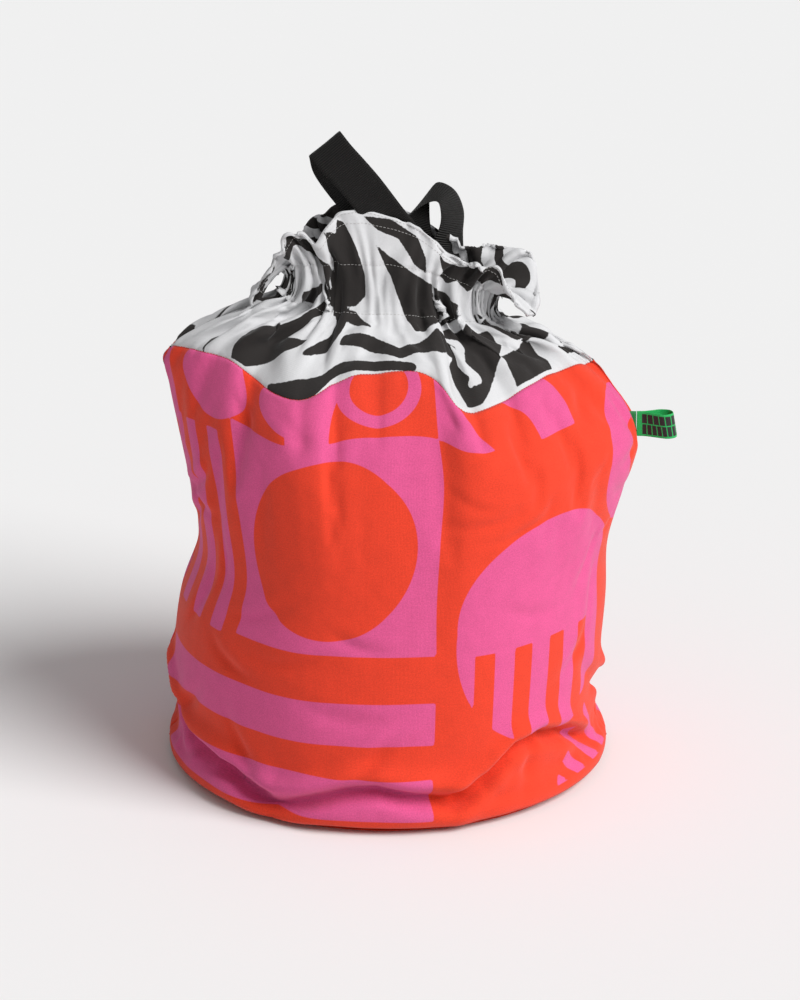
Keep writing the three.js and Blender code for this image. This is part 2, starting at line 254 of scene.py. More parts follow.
def cloth_groups(obj, rows, columns, factor):
    """How firmly each row is held, and how much spare cloth it has, as two vertex groups."""
    held = np.full(rows, 0.18)
    held[:10] = 0.05
    held[0] = 1
    held[1] = 0.6
    held[CASING_LOW_ROW // factor - 1 :] = 1
    heights = np.linspace(0, 1, rows)
    spare = np.interp(heights, [0, 0.12, 0.25, 0.6, 0.62, 1], [1, 1, 0.5, 0.4, 0.8, 0.8])
    held_group = obj.vertex_groups.new(name="held")
    spare_group = obj.vertex_groups.new(name="spare")
    for row in range(rows):
        members = list(range(row * columns, (row + 1) * columns))
        held_group.add(members, float(held[row]), "REPLACE")
        spare_group.add(members, float(spare[row]), "REPLACE")


def settle(points, factor=3, frames=26, cap=24.0):
    """Lets the cloth settle under its own weight and filling. No point moves further than the cap."""
    coarse = points[::factor, ::factor]
    rows, columns = coarse.shape[:2]
    obj = make_object("settling", coarse.reshape(-1, 3) * MM, ring_faces(rows, columns))
    cloth_groups(obj, rows, columns, factor)
    cloth = obj.modifiers.new("cloth", "CLOTH")
    s = cloth.settings
    s.quality = 7
    s.mass = 0.3
    s.tension_stiffness = 20
    s.compression_stiffness = 20
    s.shear_stiffness = 8
    s.bending_stiffness = 5
    s.air_damping = 2
    s.use_pressure = True
    s.uniform_pressure_force = 7
    s.vertex_group_mass = "held"
    s.vertex_group_shrink = "spare"
    s.shrink_min = -0.012
    s.shrink_max = -0.06
    cloth.point_cache.frame_start = 1
    cloth.point_cache.frame_end = frames
    scene = bpy.context.scene
    for number in range(1, frames + 1):
        scene.frame_set(number)
    shape = obj.evaluated_get(bpy.context.evaluated_depsgraph_get()).data
    settled = np.empty(rows * columns * 3)
    shape.vertices.foreach_get("co", settled)
    settled = settled.reshape(rows, columns, 3) / MM
    scene.frame_set(1)
    bpy.data.objects.remove(obj)
    moved = settled - coarse
    moved -= 0.75 * soften(moved, 6)
    length = np.linalg.norm(moved, axis=-1, keepdims=True)
    moved *= 0.75 * np.minimum(1, cap / np.maximum(length, 1e-6))
    return points + upsample(moved, factor)


# Creases: S and T on the flat cloth, half length, half width, turn in degrees and depth.
CREASES = (
    (-250, 84, 34, 8, 30, 4), (-150, 64, 34, 8, -50, 4), (-20, 74, 30, 8, 40, 3), (150, 56, 26, 8, 70, 4),
    (-265, 300, 26, 6, 22, 5), (-255, 284, 30, 6, -10, 4), (-280, 268, 26, 7, 30, 4),
    (-230, 318, 22, 5, 40, 3), (-140, 205, 34, 7, 24, 3.6), (-95, 168, 40, 8, 12, 3.4),
    (-170, 150, 30, 7, -20, 3.6), (-30, 192, 26, 6, -16, 2.6), (82, 310, 30, 6, 10, 2.0),
    (120, 298, 26, 5, 20, 1.8), (70, 330, 22, 5, -24, 1.5), (140, 210, 30, 7, -14, 2.0),
    (225, 240, 26, 7, 62, 3), (240, 200, 30, 8, 74, 3), (215, 150, 30, 8, 40, 2.6),
    (-40, 120, 44, 9, -8, 2.2), (10, 90, 34, 8, 18, 2.0), (-235, 200, 36, 8, 70, 3),
    (-205, 240, 34, 7, 84, 2.5), (60, 420, 16, 9, 80, 4), (-84, 400, 18, 10, 84, 5),
    (-150, 404, 14, 9, -70, 3), (210, 400, 18, 10, 62, 4), (270, 330, 30, 8, 20, 2),
    (272, 292, 26, 7, -14, 2), (264, 262, 26, 6, 26, 2), (255, 110, 34, 9, -30, 4),
    (290, 84, 30, 10, -10, 5), (420, 90, 40, 9, 40, 4), (590, 96, 36, 9, -48, 4), (770, 98, 34, 9, 50, 4),
    (880, 90, 30, 9, -40, 4), (400, 300, 34, 7, 20, 4), (430, 270, 30, 7, -16, 4),
    (560, 230, 40, 8, 14, 3), (640, 320, 34, 8, -40, 3), (720, 180, 44, 9, 22, 3),
    (800, 280, 36, 8, -12, 3), (880, 300, 30, 7, 18, 4), (900, 262, 26, 6, -20, 4),
    (520, 400, 18, 10, 76, 4), (640, 410, 18, 10, 96, 4), (760, 402, 18, 10, 80, 4),
    (600, 130, 44, 9, -10, 3), (-84, 500, 46, 8, -63, 6), (-120, 520, 30, 7, -80, 6),
    (-142, 498, 38, 8, 68, 5), (-180, 520, 36, 8, 50, 4), (94, 504, 42, 8, 70, 6),
    (132, 514, 42, 8, -66, 6), (172, 500, 42, 9, -40, 5), (60, 530, 30, 7, 82, 4),
    (18, 500, 36, 10, -20, 3), (-30, 478, 34, 10, 14, 3), (230, 505, 40, 8, -24, 4),
    (-112, 575, 24, 6, 80, 5), (-150, 588, 24, 6, 100, 5), (150, 590, 26, 7, 96, 5),
    (110, 580, 24, 6, 76, 4), (-8, 560, 30, 9, 60, 3), (560, 500, 44, 9, 70, 5),
    (640, 508, 44, 9, 100, 5), (720, 500, 44, 9, 80, 5), (480, 510, 40, 8, 50, 5),
    (820, 506, 40, 8, 110, 5), (600, 580, 24, 7, 90, 4), (700, 590, 24, 7, 80, 4),
)


# Deep folds where the cloth slumps over the foot: the hollow's path, then its depth and half width.
SLUMPS = (
    (
        (
            (-330, 96), (-285, 74), (-235, 54), (-180, 40), (-110, 33), (-60, 40), (-10, 50), (40, 47),
            (80, 38),
        ),
        17, 6.5,
    ),
    (((62, 38), (98, 50), (128, 74), (165, 84), (205, 72), (238, 50), (262, 38)), 14, 6.5),
    (((300, 92), (345, 70), (400, 48), (470, 38), (540, 46), (600, 40)), 13, 7),
    (((640, 34), (690, 56), (740, 66), (800, 50), (860, 36), (920, 52), (958, 84)), 13, 7),
)
SLUMPS_START = 330


def slumps(points):
    """Tucks the cloth in along each deep fold and lets it belly out just above."""
    normals = grid_normals(points)
    s = (S_GRID + SLUMPS_START) % GIRTH - SLUMPS_START
    total = np.zeros(s.shape)
    for path, depth, wide in SLUMPS:
        place, height = np.array(path, dtype=float).T
        above = T_GRID - (np.interp(s, place, height) - 4 * np.sin(s / 23.0))
        ends = np.clip((s - place[0] + 14) / 34, 0, 1) * np.clip((place[-1] + 14 - s) / 34, 0, 1)
        ends = ends * ends * (3 - 2 * ends)
        hollow = bell(above, wide)
        belly = bell(above - 2.4 * wide, 1.5 * wide)
        roll = bell(above + 2.2 * wide, 1.4 * wide)
        total += ends * depth * (hollow - 0.5 * belly - 0.2 * roll)
    points -= normals * (total * np.clip(T_GRID / 12, 0, 1))[..., None]


def creases(points):
    """Presses soft creases into the cloth, each with a low ridge along one side."""
    normals = grid_normals(points)
    total = np.zeros(S_GRID.shape)
    for s0, t0, long, wide, degrees, depth in CREASES:
        turn = math.radians(degrees)
        ds = (S_GRID - s0 + PANEL) % GIRTH - PANEL
        dt = T_GRID - t0
        along = ds * math.cos(turn) + dt * math.sin(turn)
        bent = -ds * math.sin(turn) + dt * math.cos(turn) - 0.12 * along**2 / long
        total += depth * np.exp(-((along / long) ** 2) - (bent / wide) ** 2)
        total -= 0.45 * depth * np.exp(-((along / long) ** 2) - ((bent - 1.9 * wide) / (1.3 * wide)) ** 2)
    foot = np.clip(T_GRID / 10, 0, 1)
    points -= normals * (total * foot)[..., None]


def folds_of_collar(points):
    """Long soft folds that run up the collar from the seam to the drawstring."""
    normals = grid_normals(points)
    reach = np.interp(V_GRID, [8.3, 9.0, 9.7, 10.5, 11.0], [0, 0.25, 1, 0.9, 0.35])
    lean = ANGLE_GRID + 0.10 * np.sin(V_GRID * 2.6 + ANGLE_GRID * 3)
    waves = 2.6 * np.sin(lean * 9 + 0.7) + 2.2 * np.sin(lean * 15 + 2.0) + 1.3 * np.sin(lean * 27 + V_GRID)
    points += normals * (reach * waves * (0.6 + 0.6 * gathered(ANGLE_GRID)))[..., None]


def seam_lines(points):
    """The cloth dips along its side seams, the collar seam and the casing's rows, and beside the label."""
    normals = grid_normals(points)
    from_seam = T_GRID - T_ROWS[SEAM_ROW]
    from_right = np.abs(S_GRID - SIDE)
    side = 1.1 * bell(np.minimum(np.abs(S_GRID + SIDE), from_right), 2.4)
    across = 1.0 * bell(from_seam, 2.2)
    casing = sum(bell(T_GRID - T_ROWS[row], 1.8) for row in (CASING_LOW_ROW, CASING_HIGH_ROW))
    pucker = 0.22 * np.sin(S_GRID * 0.75 + 2 * np.sin(S_GRID / 19)) * bell(from_seam, 9)
    pinch = 4.5 * bell(from_right - 9, 9) * bell(T_GRID - 350, 28)
    points -= normals * (side + across + 0.7 * casing + pucker + pinch)[..., None]


def frill(points):
    """Bends the frill from the top of the casing out to the rim's path."""
    keys = np.array(RIM_PATH, dtype=float)
    rim = np.stack([smooth_keys(keys[:, [0, k]], ANGLES, 2.0) for k in (1, 2, 3)], axis=-1)
    start = points[CASING_HIGH_ROW]
    rows = np.arange(CASING_HIGH_ROW, RIM_ROW + 1)
    t = ((rows - CASING_HIGH_ROW) / ROWS["frill"])[:, None, None]
    bow = 4 * t * (1 - t)
    outward = rim - start
    sideways = np.abs(outward[:, :1]) / 40
    lift = np.concatenate([np.zeros_like(outward[:, :2]), sideways * 5], axis=1)
    points[rows] = start + (rim - start) * t + lift[None] * bow


# Where the drawstring gathers the cloth: middle and half width in degrees, then how strongly.
GATHERS = (
    (-139, 20, 1.0), (-46, 20, 1.0), (-165, 12, 0.6), (-8, 14, 0.5), (35, 22, 0.9), (150, 22, 0.9),
    (90, 30, 0.3),
)


def gathered(angle):
    """How tightly the cloth is gathered at each angle, from 0 to 1."""
    degrees = np.degrees(angle)
    total = 0.16 * np.ones_like(degrees)
    for middle, width, share in GATHERS:
        total = total + share * bell(degrees - middle, width)
    return np.clip(total, 0, 1)


def pleats(points):
    """Presses the drawstring's gathers into the collar, the casing and the frill."""
    normals = grid_normals(points)
    tight = gathered(ANGLE_GRID)
    wobble = 1.6 * np.sin(ANGLE_GRID * 5 + 1.3) + 1.0 * np.sin(ANGLE_GRID * 11 + V_GRID * 1.6)
    uneven = 1 + 0.45 * np.sin(ANGLE_GRID * 17 + V_GRID * 1.1)
    fine = np.cos(ANGLE_GRID * 44 + wobble * 2.4) * uneven
    broad = np.cos(ANGLE_GRID * 23 + wobble * 1.7 + 0.6) * uneven
    neck = np.interp(V_GRID, [9.5, 10.4, 10.9, 12.1, 12.8, 14], [0, 0.35, 1, 1, 0.45, 0.15])
    cone = np.interp(V_GRID, [9.05, 9.8, 10.6, 11.2, 14], [0, 1, 0.8, 0.2, 0])
    edge = np.interp(V_GRID, [12.2, 13.2, 14], [0, 0.7, 1])
    depth = tight * (neck * 3.4 * fine + cone * 5.0 * broad + edge * 4.0 * broad)
    points += normals * depth[..., None]


def shaped_cloth():
    """The whole cloth surface, from the base seam to the rim."""
    points = outline_points(ANGLE_GRID, V_GRID)
    frill(points)
    folds_of_collar(points)
    pleats(points)
    points = settle(points)
    slumps(points)
    creases(points)
    seam_lines(points)
    points[..., 2] = np.maximum(points[..., 2], 1.6)
    return points


POINTS = shaped_cloth()
NORMALS = grid_normals(POINTS)


def closed_faces(rows, columns):
    """Quads of a sheet with two faces, each a grid, and a narrow strip that joins them round their edge."""
    r, c = np.meshgrid(np.arange(rows - 1), np.arange(columns - 1), indexing="ij")
    low = r * columns + c
    high = low + columns
    quads = np.stack([low, low + 1, high + 1, high], axis=-1).reshape(-1, 4)
    edge = np.concatenate([
        np.arange(columns - 1),
        np.arange(rows - 1) * columns + columns - 1,
        (rows - 1) * columns + np.arange(columns - 1, 0, -1),
        np.arange(rows - 1, 0, -1) * columns,
    ])
    following = np.roll(edge, -1)
    back = rows * columns
    strip = np.stack([edge, edge + back, following + back, following], axis=-1)
    return np.concatenate([quads, quads[:, ::-1] + back, strip])


def closed_sheet(name, first, second, s, t, turned=False):
    """A closed sheet between two grids of points in millimetres, with its flat coordinates s and t."""
    faces = closed_faces(*first.shape[:2])
    if turned:
        faces = np.roll(faces[:, ::-1], 1, axis=1)
    obj = make_object(name, np.concatenate([first.reshape(-1, 3), second.reshape(-1, 3)]) * MM, faces)
    add_cloth_map(obj, np.tile(s.ravel(), 2), np.tile(t.ravel(), 2))
    return obj


def sheet_piece(name, columns, rows, outer, inner):
    """A closed piece of cloth cut from the grid, between two depths under the outer face."""
    picked = np.arange(rows[0], rows[1] + 1)
    count = columns[1] - columns[0] + 1
    grid = np.ix_(picked, np.arange(columns[0], columns[1] + 1) % COLUMNS)
    first, second = (POINTS[grid] - NORMALS[grid] * depth(picked)[:, None, None] for depth in (outer, inner))
    start = S_GRID[picked][:, columns[0] % COLUMNS][:, None]
    s = start + np.arange(count)[None, :] * AROUND * 2 * math.pi / COLUMNS
    return closed_sheet(name, first, second, s, T_GRID[grid])


def add_cloth_map(obj, s, t):
    """A UV map that holds the flat cloth's own millimetres, divided by 100."""
    layer = obj.data.uv_layers.new(name="cloth")
    corner = np.empty(len(obj.data.loops), dtype=int)
    obj.data.loops.foreach_get("vertex_index", corner)
    uv = np.stack([s[corner], t[corner]], axis=-1) / 100
    layer.data.foreach_set("uv", uv.astype(np.float32).ravel())


def constant(value):
    """The same depth for every row."""
    return lambda rows: np.full(len(rows), float(value))


def facing_depth(start):
    """The turned-in layer lies behind the webbing in the casing and close behind the frill above it."""
    return lambda rows: start - 2.8 * np.clip((rows - CASING_HIGH_ROW) / 10, 0, 1)


HALF = COLUMNS // 2
FRONT = (0, HALF)
BACK = (HALF, COLUMNS)


def ride_as(obj, node, body="bag"):
    """Fixes a piece to its body, in place of the frame's node of that name."""
    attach(obj, body)
    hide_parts(node)
    return obj


def disc(s, t, s0, t0, radius):
    """Distance inside a printed circle, in flat millimetres: positive inside."""
    return radius - np.hypot(s - s0, t - t0)


def block(s, t, low_s, high_s, low_t, high_t):
    """Distance inside a printed rectangle."""
    return np.minimum.reduce([s - low_s, high_s - s, t - low_t, high_t - t])


def polygon(s, t, corners):
    """Distance inside a printed polygon."""
    inside = np.zeros(s.shape, dtype=bool)
    nearest = np.full(s.shape, 1e9)
    for (s1, t1), (s2, t2) in zip(corners, corners[1:] + corners[:1]):
        ds = s2 - s1
        dt = t2 - t1
        share = np.clip(((s - s1) * ds + (t - t1) * dt) / (ds * ds + dt * dt), 0, 1)
        nearest = np.minimum(nearest, np.hypot(s - s1 - share * ds, t - t1 - share * dt))
        crosses = (t1 > t) != (t2 > t)
        edge = s1 + (t - t1) * ds / (dt if dt else 1e-9)
        inside ^= crosses & (s < edge)
    return np.where(inside, nearest, -nearest)


def stroke(s, t, path):
    """Distance inside a brush stroke through (s, t, half width) points."""
    best = np.full(s.shape, -1e9)
    for (s1, t1, w1), (s2, t2, w2) in zip(path, path[1:]):
        ds = s2 - s1
        dt = t2 - t1
        share = np.clip(((s - s1) * ds + (t - t1) * dt) / (ds * ds + dt * dt), 0, 1)
        reach = w1 + share * (w2 - w1)
        best = np.maximum(best, reach - np.hypot(s - s1 - share * ds, t - t1 - share * dt))
    return best


def front_print(s, t):
    """The pink shapes on the front of the body, in flat millimetres."""
    sag = 0.0023 * np.clip(-62 - s, 0, None) ** 2
    square = np.minimum(block(s, t, -166, 45, 183, 391), -disc(s, t + sag, -62, 285, 88))
    shapes = [square, disc(s, t, -190, 432, 47), disc(s, t, -89, 437, 37)]
    shapes.append(np.minimum(disc(s, t, -7, 439, 39), -disc(s, t, -7, 439, 27)))
    for low in (-208, -250, -292):
        shapes.append(block(s, t, low, low + 21, 178, 374))
    shapes.append(block(s, t, -300, 45, 95, 137))
    shapes.append(block(s, t, -300, 42, 25, 64))
    shapes.append(polygon(s, t, [(45, 391), (98, 391), (80, 438), (58, 475), (45, 475)]))
    dome = np.maximum(disc(s, t, 172, 188, 108), disc(s, t, 163, 206, 98))
    dome = np.minimum(dome, 256 - s)
    for low in (82, 124, 167, 210):
        dome = np.minimum(dome, -block(s, t, low, low + 20.5, -20, 181))
    shapes.append(dome)
    quarter = np.minimum(disc(s, t, 45, 387, 144), -disc(s, t, 45, 387, 101))
    shapes.append(np.minimum(quarter, t - 384))
    shapes.append(np.minimum(disc(s, t, 298, 334, 74), -disc(s, t, 302, 334, 30)))
    shapes.append(block(s, t, -340, -276, 362, 470))
    shapes.append(polygon(s, t, [(-340, 344), (-273, 344), (-238, 286), (-340, 286)]))
    along = (s - 182) * 0.777 + (t - 31) * 0.63
    below = (s - 182) * 0.63 - (t - 31) * 0.777
    for middle in (0, 26, 52, 78):
        stripe = 6.5 - np.abs(along - middle)
        shapes.append(np.minimum.reduce([stripe, below, 96 - t, t - 26, 312 - s]))
    return np.maximum.reduce(shapes)


def body_print(s, t):
    """The pink print on the whole body. The back panel is cut one repeat further along the cloth."""
    s = (s + SIDE) % GIRTH - SIDE
    back_t = np.where(t < 208, t + 183, t - 208)
    return np.where(s < SIDE, front_print(s, t), front_print(s - PANEL, back_t))


# Brush strokes on the front of the collar, each a path of S, T and half width, then patches by their corners.
FRONT_STROKES = (
    ((-214, 470, 4), (-203, 452, 1)),
    ((-122, 545, 9), (-98, 535, 9), (-80, 519, 10), (-82, 503, 9), (-100, 488, 3)),
    ((-150, 497, 8), (-142, 518, 7), (-128, 536, 6)),
    ((-100, 528, 4), (-62, 523, 6), (-26, 512, 1)),
    ((-58, 499, 6), (-20, 492, 8), (14, 475, 7), (46, 490, 7), (78, 505, 9), (99, 497, 8), (104, 474, 7)),
    ((-114, 455, 5), (-88, 458, 12), (-66, 464, 9), (-48, 468, 7), (-22, 463, 6), (24, 458, 5)),
    ((196, 530, 8), (204, 505, 9), (250, 500, 7), (300, 502, 9), (318, 488, 3)),
    ((248, 472, 3), (284, 478, 7), (312, 468, 2)),
    ((-318, 466, 1), (-304, 488, 5), (-286, 510, 9), (-262, 534, 12)),
    ((-216, 598, 4), (-190, 612, 7), (-160, 602, 8), (-140, 582, 9), (-122, 556, 9)),
    ((-186, 536, 8), (-164, 538, 7), (-148, 548, 5)),
    ((-330, 614, 9), (-282, 612, 9), (-236, 614, 7)),
    ((240, 540, 6), (262, 570, 8), (236, 606, 6)),
    ((292, 530, 5), (302, 572, 9), (284, 622, 7)),
)
FRONT_PATCHES = (
    [(-278, 528), (-222, 530), (-230, 576), (-268, 584)],
    [(-164, 456), (-184, 485), (-174, 505), (-134, 493), (-108, 498), (-120, 484), (-146, 457)],
    [(96, 520), (182, 514), (170, 497), (150, 488), (128, 474), (98, 458), (84, 458), (78, 486), (94, 500)],
    [(150, 486), (176, 488), (216, 495), (205, 468), (196, 458), (142, 458)],
    [
        (-110, 620), (-92, 606), (-84, 618), (-74, 612), (-60, 592), (-46, 566), (-44, 544), (-62, 534),
        (-84, 532), (-118, 540),
    ],
    [(-42, 616), (-6, 620), (38, 611), (62, 592), (74, 572), (46, 580), (10, 602), (-20, 606)],
    [
        (-26, 594), (-2, 584), (42, 572), (84, 562), (142, 546), (134, 528), (84, 520), (42, 508), (26, 536),
        (6, 564),
    ],
    [
        (78, 612), (92, 604), (128, 606), (166, 622), (210, 614), (196, 588), (164, 566), (138, 574),
        (112, 566),
    ],
)
WHITE_STROKES = (
    ((96, 512, 2), (112, 505, 5), (100, 492, 3)),
    ((100, 503, 2), (96, 488, 6), (106, 478, 5), (94, 474, 2)),
)


def wandering_print(s, t):
    """Brush bands that wander round the rest of the collar."""
    bend = 0.34 * np.sin(s / 41.0 + 0.6)
    bend += 0.22 * np.sin(s / 17.5 + t / 33.0)
    bend += 0.18 * np.sin(t / 21.0 - s / 60.0)
    phase = t / 52.0 + s / 95.0 + bend
    width = 1.2 + 3.4 * np.sin(s / 29.0 + t / 47.0)
    return 9.0 * np.sin(2 * math.pi * phase) - 3.0 + width


def collar_print(s, t):
    """The black brush print on the collar, the casing and the frill."""
    s = (s + SIDE) % GIRTH - SIDE
    black = [stroke(s, t, path) for path in FRONT_STROKES]
    black += [polygon(s, t, corners) for corners in FRONT_PATCHES]
    front = np.maximum.reduce(black)
    white = np.maximum.reduce([stroke(s, t, path) for path in WHITE_STROKES])
    front = np.minimum(front, -white)
    return np.where(s < SIDE, front, wandering_print(s, t))


def add_ink(obj, printed):
    """Stores how far each point lies inside the print, which the cloth's material turns into colour."""
    uv = np.empty(len(obj.data.loops) * 2, dtype=np.float32)
    obj.data.uv_layers["cloth"].data.foreach_get("uv", uv)
    corner = np.empty(len(obj.data.loops), dtype=int)
    obj.data.loops.foreach_get("vertex_index", corner)
    place = np.zeros((len(obj.data.vertices), 2))
    place[corner] = uv.reshape(-1, 2) * 100
    ink = printed(place[:, 0], place[:, 1])
    layer = obj.data.attributes.new("ink", "FLOAT", "POINT")
    layer.data.foreach_set("value", ink.astype(np.float32))


class Nodes:
    """Short calls for building one material's node tree."""

    def __init__(self, name):
        self.material = bpy.data.materials.new(name)
        self.material.use_nodes = True
        self.tree = self.material.node_tree
        self.shader = self.tree.nodes["Principled BSDF"]

    def fill(self, node, values):
        """Sets or links a node's sockets from a dict of values and other nodes' outputs."""
        for socket, value in values.items():
            if isinstance(value, bpy.types.NodeSocket):
                self.tree.links.new(value, node.inputs[socket])
            else:
                node.inputs[socket].default_value = value

    def node(self, kind, values=None, **settings):
        """A new node with its settings made and its sockets filled."""
        made = self.tree.nodes.new(kind)
        for key, value in settings.items():
            setattr(made, key, value)
        self.fill(made, values or {})
        return made

    def cloth_place(self):
        """The flat cloth's coordinates."""
        return self.node("ShaderNodeUVMap", uv_map="cloth").outputs["UV"]

    def ink(self):
        """How far inside the print each point lies."""
        return self.node("ShaderNodeAttribute", attribute_name="ink").outputs["Fac"]

    def shaded(self, colour, tone):
        """A colour made lighter or darker by a tone around 1."""
        grey = self.node("ShaderNodeCombineColor", {0: tone, 1: tone, 2: tone}).outputs[0]
        return self.mix(1.0, colour, grey, "MULTIPLY")

    def uneven(self, value, middle, share):
        """A value's swing about its middle, scaled down to a share."""
        return self.math("MULTIPLY", self.math("SUBTRACT", value, middle), share)

    def math(self, operation, first, second=0.0):
        return self.node("ShaderNodeMath", {0: first, 1: second}, operation=operation).outputs[0]

    def noise(self, place, scale, detail=2.0):
        values = {"Vector": place, "Scale": scale, "Detail": detail}
        return self.node("ShaderNodeTexNoise", values).outputs["Fac"]

    def range(self, value, low, high, new_low, new_high):
        values = {"Value": value, 1: low, 2: high, 3: new_low, 4: new_high}
        return self.node("ShaderNodeMapRange", values).outputs["Result"]

    def mix(self, share, first, second, blend="MIX"):
        values = {0: share, 6: first, 7: second}
        return self.node("ShaderNodeMix", values, data_type="RGBA", blend_type=blend).outputs[2]

    def wave(self, place, scale, direction, distortion=0.6):
        values = {"Vector": place, "Scale": scale, "Distortion": distortion, "Detail": 1.0}
        made = self.node("ShaderNodeTexWave", values, wave_type="BANDS", bands_direction=direction)
        return made.outputs["Fac"]

    def bump(self, height, distance, strength, normal=None):
        values = {"Height": height, "Distance": distance, "Strength": strength}
        if normal is not None:
            values["Normal"] = normal
        return self.node("ShaderNodeBump", values).outputs["Normal"]


def woven_cloth(name, ground, ink, edge=0.25, ragged=0.0, mottle=0.12):
    """Printed cotton: a plain weave, a slightly uneven print and small crumples."""
    n = Nodes(name)
    place = n.cloth_place()
    depth = n.ink()
    if ragged:
        depth = n.math("ADD", depth, n.uneven(n.noise(place, 26.0, 5.0), 0.5, ragged))
    inked = n.range(depth, -edge, edge, 0.0, 1.0)
    weave = n.math("ADD", n.wave(place, 26.0, "X"), n.wave(place, 26.0, "Y"))
    tone = n.math("ADD", n.uneven(n.noise(place, 75.0, 3.0), 0.5, mottle * 3), 1.0)
    tone = n.math("ADD", tone, n.uneven(n.noise(place, 7.0, 3.0), 0.5, mottle * 0.8))
    tone = n.math("ADD", tone, n.uneven(weave, 1.0, mottle * 0.25))
    crumpled = n.bump(n.noise(place, 3.2, 4.0), 0.004, 0.35)
    n.fill(n.shader, {
        "Base Color": n.shaded(n.mix(inked, (*ground, 1), (*ink, 1)), tone),
        "Normal": n.bump(weave, 0.0002, 0.35, crumpled),
        "Roughness": 0.86,
        "Sheen Weight": 0.12,
        "Specular IOR Level": 0.25,
    })
    return n.material


def plain_material(name, colour, roughness, grain=0.0):
    """One colour with a fine grain."""
    n = Nodes(name)
    speckle = n.noise(n.node("ShaderNodeTexCoord").outputs["Object"], 900.0, 2.0)
    tone = n.math("ADD", n.uneven(speckle, 0.5, grain), 1.0)
    n.fill(n.shader, {"Base Color": n.shaded((*colour, 1), tone), "Roughness": roughness})
    return n.material


ORANGE = (0.72, 0.045, 0.016)
PINK = (0.66, 0.085, 0.245)
WHITE = (0.61, 0.61, 0.62)
BLACK = (0.020, 0.017, 0.016)
BODY_CLOTH = woven_cloth("printed_cotton", ORANGE, PINK, mottle=0.2)
COLLAR_CLOTH = woven_cloth("collar_cotton", WHITE, BLACK, edge=0.3, ragged=2.0, mottle=0.06)
THREADS = {
    "seam_thread": plain_material("seam_thread", (0.55, 0.03, 0.015), 0.7, grain=0.5),
    "light_thread": plain_material("light_thread", (0.42, 0.41, 0.40), 0.7, grain=0.4),
}


def dye(obj, printed, cloth):
    """Gives a piece its print and its cloth."""
    add_ink(obj, printed)
    obj.data.materials.append(cloth)


def facing_print(s, t):
    """The collar's print on the turned-in layer, where it runs on over the rim and down."""
    return collar_print(s, 2 * T_ROWS[RIM_ROW] - t)


def no_print(s, t):
    """Cloth without any print."""
    return np.full(s.shape, -2.0)


def cloth_pieces():
    """The four printed panels and the turned-in facing."""
    faces = (constant(0), constant(CLOTH))
    inner_faces = (facing_depth(4.0), facing_depth(5.0))
    for side, columns in (("front", FRONT), ("back", BACK)):
        body = sheet_piece("printed_body_" + side, columns, (0, SEAM_ROW), *faces)
        dye(body, body_print, BODY_CLOTH)
        ride_as(body, "body_" + side)
        collar = sheet_piece("brushed_collar_" + side, columns, (SEAM_ROW, RIM_ROW), *faces)
        dye(collar, collar_print, COLLAR_CLOTH)
        ride_as(collar, "collar_" + side)
        facing = sheet_piece("turned_in_facing_" + side, columns, (CASING_LOW_ROW, RIM_ROW), *inner_faces)
        dye(facing, facing_print, COLLAR_CLOTH)
        ride_as(facing, "facing_" + side)


def row_line(row, columns, depth):
    """Points and outward normals along one row of the cloth, at a depth under its outer face."""
    cols = np.arange(columns[0], columns[1] + 1) % COLUMNS
    low = int(row)
    share = row - low
    high = min(low + 1, RIM_ROW)
    points = POINTS[low, cols] * (1 - share) + POINTS[high, cols] * share
    normals = NORMALS[low, cols] * (1 - share) + NORMALS[high, cols] * share
    return points - normals * depth, normals


def stitches(name, line, normals, pitch, length, radius):
    """A row of separate short stitches along a line, each a small rounded thread pressed into the cloth."""
    run = run_length(line)
    starts = np.arange(pitch / 2, run[-1] - length, pitch)
    share = np.array([0.0, 0.18, 0.5, 0.82, 1.0])
    along = starts[:, None] + share[None, :] * length
    centre = np.stack([np.interp(along, run, line[:, k]) for k in range(3)], axis=-1)
    normal = np.stack([np.interp(along, run, normals[:, k]) for k in range(3)], axis=-1)
    normal /= np.linalg.norm(normal, axis=-1, keepdims=True)
    ahead = np.gradient(centre, axis=1)
    side = np.cross(ahead, normal)
    side /= np.linalg.norm(side, axis=-1, keepdims=True)
    rise = np.array([-0.9, 0.1, 0.35, 0.1, -0.9]) * radius
    thick = np.array([0.35, 0.95, 1.0, 0.95, 0.35]) * radius
    sides = 6
    turn = np.arange(sides) * 2 * math.pi / sides
    ring = normal[..., None, :] * np.cos(turn)[:, None] + side[..., None, :] * np.sin(turn)[:, None]
    vertices = (centre + normal * rise[:, None])[..., None, :] + ring * thick[:, None, None]
    last = (len(share) - 1) * sides
    first_points = np.arange(len(starts)) * len(share) * sides
    faces = (ring_faces(len(share), sides)[None] + first_points[:, None, None]).reshape(-1, 4).tolist()
    for first in first_points.tolist():
        faces.append([first + k for k in range(sides)])
        faces.append([first + last + k for k in reversed(range(sides))])
    return make_object(name, vertices.reshape(-1, 3) * MM, faces)


def smooth_path(stations, steps):
    """A smooth run through (centre, half width) stations, with evenly spaced sections."""
    keys = np.array([centre + half for centre, half in stations], dtype=float)
    fine = through(keys, np.linspace(0, len(keys) - 1, 1200))
    run = run_length(fine[:, :3])
    even = np.linspace(0, run[-1], steps)
    return np.stack([np.interp(even, run, fine[:, k]) for k in range(6)], axis=-1), even


